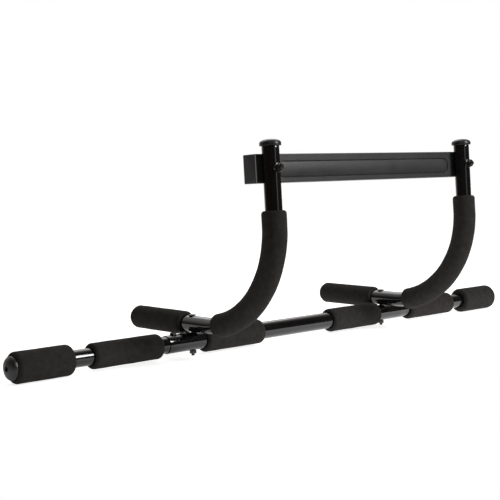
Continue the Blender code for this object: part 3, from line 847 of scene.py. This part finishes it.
def make_lock_screws():
    steel = fastener_material()
    for side, sign in SIDES:
        for number in (1, 2):
            node = f"{side}_lock_screw_{number}"
            low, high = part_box(node)
            origin = np.array([middle(node)[0], BAR_CENTRE[1], BAR_CENTRE[2]])
            turn = 0.35 * number + sign
            line = standing_line(origin, (0, 0, 1), (math.cos(turn), math.sin(turn), 0))
            seat, top = CENTRE_TUBE_RADIUS + GAP, high[2] - BAR_CENTRE[2]
            tip = low[2] - BAR_CENTRE[2]
            outline, rows = hexagon_rows((high[1] - low[1]) * math.cos(math.pi / 6), seat, top)
            pitch = sizes().thread_pitch
            heights, thread = threaded(tip + 0.3 * MM, seat - 1.2 * MM, SCREW_RADIUS, pitch, rows.shape[1])
            end = np.array([(tip, 0.8 * MM), (tip, 2.4 * MM)])
            neck = np.array([(seat - 1.0 * MM, SCREW_RADIUS), (seat, SCREW_RADIUS)])
            z = np.concatenate([end[:, 0], heights, neck[:, 0], outline[1:, 0]])
            ones = np.ones(rows.shape[1])
            rows = np.concatenate([end[:, 1:2] * ones, thread, neck[:, 1:2] * ones, rows[1:]])
            mesh = surface(node, swept(line, np.stack([z, z], -1), rows.shape[1], rows), sharp=28.0)
            piece(f"{node}_blackened", mesh, steel, "fastener", node)


def make_crossing_bolts():
    steel = fastener_material()
    for side, sign in SIDES:
        bolt, nut = f"{side}_crossing_bolt", f"{side}_crossing_nut"
        low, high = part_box(bolt)
        origin = np.array([sign * ARM_X, BAR_CENTRE[1], 0.0])
        line = standing_line(origin, (0, 0, 1), (1, 0, 0))
        seat = CROSSING_Z + TUBE_RADIUS + GAP
        tail, head = low[2], ((high[0] - low[0]) / 2, high[2] - seat)
        mesh = bolt_mesh(bolt, line, tail, tail + THREADED_LENGTH, seat, CROSSING_BOLT_RADIUS, *head)
        piece(f"{bolt}_blackened", mesh, steel, "fastener", bolt)
        low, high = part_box(nut)
        line = standing_line(origin + (0, 0, high[2]), (0, 0, -1), (1, 0, 0))
        mesh = hexagon_mesh(nut, line, high[0] - low[0], 0.0, high[2] - low[2], CROSSING_BOLT_RADIUS + GAP)
        piece(f"{nut}_blackened", mesh, steel, "fastener", nut)


def saddle_mesh(name, place, x, outer, bore, seat):
    """A round washer formed over the upright: across it the underside follows a circle of the tube's
    radius, the square root of that radius squared less the distance from its middle squared, and the top
    is flat."""
    columns = 72
    angle = 2 * np.pi * np.arange(columns) / columns
    hollow = TUBE_RADIUS + GAP
    reach = np.linspace(bore, outer, 10)[:, None] * np.ones(columns)
    across = reach * np.cos(angle)
    under = np.sqrt(np.maximum(hollow**2 - across**2, 0.0))
    ease = np.concatenate([[0.35 * MM, 0.1 * MM], np.zeros(6), [0.1 * MM, 0.4 * MM]])[:, None]
    top = np.broadcast_to(seat - ease, reach.shape)
    y = -np.concatenate([under, top[::-1]])
    reach = np.concatenate([reach, reach[::-1]])
    local = np.stack([x + reach * np.cos(angle), y, reach * np.sin(angle)], -1)
    return surface(name, place.put(local), closed=True, sharp=40.0)


def make_bracket_bolts():
    steel = fastener_material()
    size, place = sizes(), BracketPlace()
    for side, sign in SIDES:
        bolt, nut, saddle = (f"{side}_{kind}" for kind in ("bracket_bolt", "bracket_nut", "saddle_washer"))
        origin = place.origin + (sign * ARM_X, 0, 0)
        line = standing_line(origin, place.y, (1, 0, 0))
        seat = place.face + size.bracket_front + GAP
        saddle_top = TUBE_RADIUS + GAP + SADDLE_THICKNESS
        nut_seat = saddle_top + GAP
        hole = BRACKET_BOLT_RADIUS + GAP
        tail = -(nut_seat + BRACKET_NUT + BRACKET_BOLT_TAIL)
        head = (extent(bolt)[0] / 2, BRACKET_BOLT_HEAD)
        mesh = bolt_mesh(bolt, line, tail, tail + THREADED_LENGTH, seat, BRACKET_BOLT_RADIUS, *head)
        piece(f"{bolt}_blackened", mesh, steel, "fastener", bolt)
        mesh = saddle_mesh(saddle, place, sign * ARM_X, extent(saddle)[0] / 2, hole, saddle_top)
        piece(f"{saddle}_blackened", mesh, steel, "fastener", saddle)
        outwards = standing_line(origin - place.y * nut_seat, -place.y, (1, 0, 0))
        mesh = hexagon_mesh(nut, outwards, extent(nut)[0], 0.0, BRACKET_NUT, hole)
        piece(f"{nut}_blackened", mesh, steel, "fastener", nut)


# ---------------------------------------------------------------- stage


def make_floor():
    """A pale floor that glows. The camera sees it evenly bright, while light and reflections see it dim
    on the left and bright on the right."""
    left, right, front, back = -1.2, 9.0, -0.4, 9.0
    corners = [(left, front, 0), (right, front, 0), (right, back, 0), (left, back, 0)]
    mesh = bpy.data.meshes.new("floor")
    mesh.from_pydata(corners, [], [(0, 1, 2, 3)])
    nodes = Nodes("pale_floor")
    nodes.shader.inputs["Base Color"].default_value = (*stage_values().floor, 1.0)
    nodes.shader.inputs["Roughness"].default_value = 0.75
    nodes.shader.inputs["Specular IOR Level"].default_value = 0.2
    nodes.shader.inputs["Emission Color"].default_value = (1.0, 1.0, 1.0, 1.0)
    path, split = nodes.add("ShaderNodeLightPath"), nodes.add("ShaderNodeSeparateXYZ")
    nodes.join(nodes.place, split.inputs[0])
    glow = stage_values().glow
    along = nodes.ramp(split.outputs["X"], -0.5, 0.4, 0.33 * glow, 1.07 * glow)
    seen = nodes.add("ShaderNodeMix")
    nodes.join(path.outputs["Is Camera Ray"], seen.inputs[0])
    nodes.join(along, seen.inputs[2])
    seen.inputs[3].default_value = glow
    nodes.join(seen.outputs[0], nodes.shader.inputs["Emission Strength"])
    floor = bpy.data.objects.new("floor", mesh)
    mesh.materials.append(nodes.material)
    bpy.context.scene.collection.objects.link(floor)


def make_sky():
    """Soft light from above and behind: plain white where the camera sees it, and for light and
    reflections a sky that is dim and warm away from one high direction, and brightens and whitens towards
    it."""
    world = bpy.data.worlds.new("studio")
    bpy.context.scene.world = world
    world.use_nodes = True
    tree = world.node_tree
    tree.nodes.clear()
    add = tree.nodes.new
    place, along, ramp = add("ShaderNodeTexCoord"), add("ShaderNodeVectorMath"), add("ShaderNodeMapRange")
    path, mix = add("ShaderNodeLightPath"), add("ShaderNodeMix")
    background, output = add("ShaderNodeBackground"), add("ShaderNodeOutputWorld")
    along.operation = "DOT_PRODUCT"
    along.inputs[1].default_value = Vector((0.25, 0.75, 0.60)).normalized()
    tree.links.new(place.outputs["Generated"], along.inputs[0])
    ramp.interpolation_type = "SMOOTHSTEP"
    for key, value in (("From Min", 0.40), ("From Max", 0.95), ("To Min", 0.05)):
        ramp.inputs[key].default_value = value
    ramp.inputs["To Max"].default_value = stage_values().sky
    tree.links.new(along.outputs["Value"], ramp.inputs["Value"])
    tree.links.new(path.outputs["Is Camera Ray"], mix.inputs[0])
    tree.links.new(ramp.outputs["Result"], mix.inputs[2])
    mix.inputs[3].default_value = 1.0
    tint = add("ShaderNodeMix")
    tint.data_type = "RGBA"
    tree.links.new(along.outputs["Value"], tint.inputs[0])
    tint.inputs[6].default_value = (1.0, 0.80, 0.66, 1.0)
    tint.inputs[7].default_value = (1.0, 1.0, 1.0, 1.0)
    white = add("ShaderNodeMix")
    white.data_type = "RGBA"
    tree.links.new(path.outputs["Is Camera Ray"], white.inputs[0])
    tree.links.new(tint.outputs[2], white.inputs[6])
    white.inputs[7].default_value = (1.0, 1.0, 1.0, 1.0)
    tree.links.new(white.outputs[2], background.inputs["Color"])
    tree.links.new(mix.outputs[0], background.inputs["Strength"])
    tree.links.new(background.outputs[0], output.inputs[0])


def soft_light(name, place, target, width, height, watts):
    """An oblong area light at place, facing target."""
    data = bpy.data.lights.new(name, "AREA")
    data.shape, data.size, data.size_y, data.energy = "RECTANGLE", width, height, watts
    light = bpy.data.objects.new(name, data)
    light.location = place
    light.rotation_euler = (Vector(target) - Vector(place)).to_track_quat("-Z", "Y").to_euler()
    bpy.context.scene.collection.objects.link(light)


def make_camera():
    """A long lens from the front left, a little above the bar, nearly level."""
    yaw, pitch, roll = 0.8197, 0.0760, -0.0160
    forward = Vector((math.cos(pitch) * math.cos(yaw), math.cos(pitch) * math.sin(yaw), -math.sin(pitch)))
    right = Vector((math.sin(yaw), -math.cos(yaw), 0.0))
    up = right.cross(forward)
    turned_right = right * math.cos(roll) + up * math.sin(roll)
    turned_up = up * math.cos(roll) - right * math.sin(roll)
    data = bpy.data.cameras.new("camera")
    data.lens, data.sensor_width = 84.44, 36.0
    camera = bpy.data.objects.new("camera", data)
    turn = Matrix((turned_right, turned_up, -forward)).transposed().to_4x4()
    place = Vector((-1.3594, -1.3524 + BAR_CENTRE[1], 0.2718 + BAR_CENTRE[2]))
    camera.matrix_world = Matrix.Translation(place) @ turn
    bpy.context.scene.collection.objects.link(camera)
    bpy.context.scene.camera = camera


def make_stage():
    stage = stage_values()
    make_floor()
    make_sky()
    soft_light("front_light", (0.66, -1.45, 1.12), (0.0, 0.0, 0.1), 0.36, 1.1, stage.front)
    soft_light("front_card", (0.25, -1.60, 0.36), (0.0, 0.0, 0.15), 0.3, 0.9, stage.card)
    soft_light("left_light", (-1.2, -1.3, 1.35), (0.0, 0.0, 0.2), 0.5, 0.5, stage.left)
    soft_light("back_light", (0.9, 1.3, 1.5), (0.0, 0.0, 0.1), 1.6, 1.2, stage.back)
    make_camera()
    bpy.context.scene.view_settings.view_transform = "Standard"


# ---------------------------------------------------------------- operators


def operator(suffix, label, words, work):
    """An operator class named for its piece, whose execute does that piece's work."""

    def execute(self, context):
        work()
        return {"FINISHED"}

    return type(
        f"PULLUPBAR_OT_{suffix}",
        (bpy.types.Operator,),
        {"__doc__": words, "bl_idname": f"pull_up_bar.{suffix}", "bl_label": label, "execute": execute},
    )


OPERATORS = (
    operator("stage", "Stage", "Adds the floor, the soft lights and the camera", make_stage),
    operator("bar_tubes", "Bar Tubes", "Builds the centre tube and the two end bars", make_bar_tubes),
    operator("bar_grips", "Bar Grips", "Builds the six foam grips on the main bar", make_bar_grips),
    operator("arm_tubes", "Arm Tubes", "Builds the two bent arm tubes", make_arm_tubes),
    operator("arm_foam", "Arm Foam", "Builds the handle grips and the arm pads", make_arm_foam),
    operator("caps", "Caps", "Builds the caps on the bar, the handles and the uprights", make_caps),
    operator("door_bracket", "Door Bracket", "Builds the bracket with its sunk panel", make_door_bracket),
    operator("lock_screws", "Lock Screws", "Builds the screws that hold the end bars", make_lock_screws),
    operator("crossing_bolts", "Crossing Bolts", "Builds the crossings' bolts and nuts", make_crossing_bolts),
    operator("bracket_bolts", "Bracket Bolts", "Builds its bolts, washers and nuts", make_bracket_bolts),
)


class PULLUPBAR_PT_panel(bpy.types.Panel):
    """Lists the sizes, finishes and builders of the pull-up bar"""

    bl_label = "Pull-up Bar"
    bl_idname = "PULLUPBAR_PT_panel"
    bl_space_type = "VIEW_3D"
    bl_region_type = "UI"
    bl_category = "Pull-up Bar"

    def draw(self, context):
        for group in (sizes(), finishes(), stage_values()):
            box = self.layout.box()
            for name in group.__annotations__:
                box.prop(group, name)
        for made in OPERATORS:
            self.layout.operator(made.bl_idname)


GROUPS = (
    ("pull_up_bar_sizes", PullUpBarSizes),
    ("pull_up_bar_finishes", PullUpBarFinishes),
    ("pull_up_bar_stage", PullUpBarStage),
)


def register():
    for name, group in GROUPS:
        bpy.utils.register_class(group)
        setattr(bpy.types.Scene, name, bpy.props.PointerProperty(type=group))
    for made in (*OPERATORS, PULLUPBAR_PT_panel):
        bpy.utils.register_class(made)


def unregister():
    for made in (PULLUPBAR_PT_panel, *reversed(OPERATORS)):
        bpy.utils.unregister_class(made)
    for name, group in reversed(GROUPS):
        delattr(bpy.types.Scene, name)
        bpy.utils.unregister_class(group)


def main():
    register()
    for made in OPERATORS:
        group, name = made.bl_idname.split(".")
        getattr(getattr(bpy.ops, group), name)()
    bpy.context.view_layer.update()


if __name__ == "__main__":
    main()
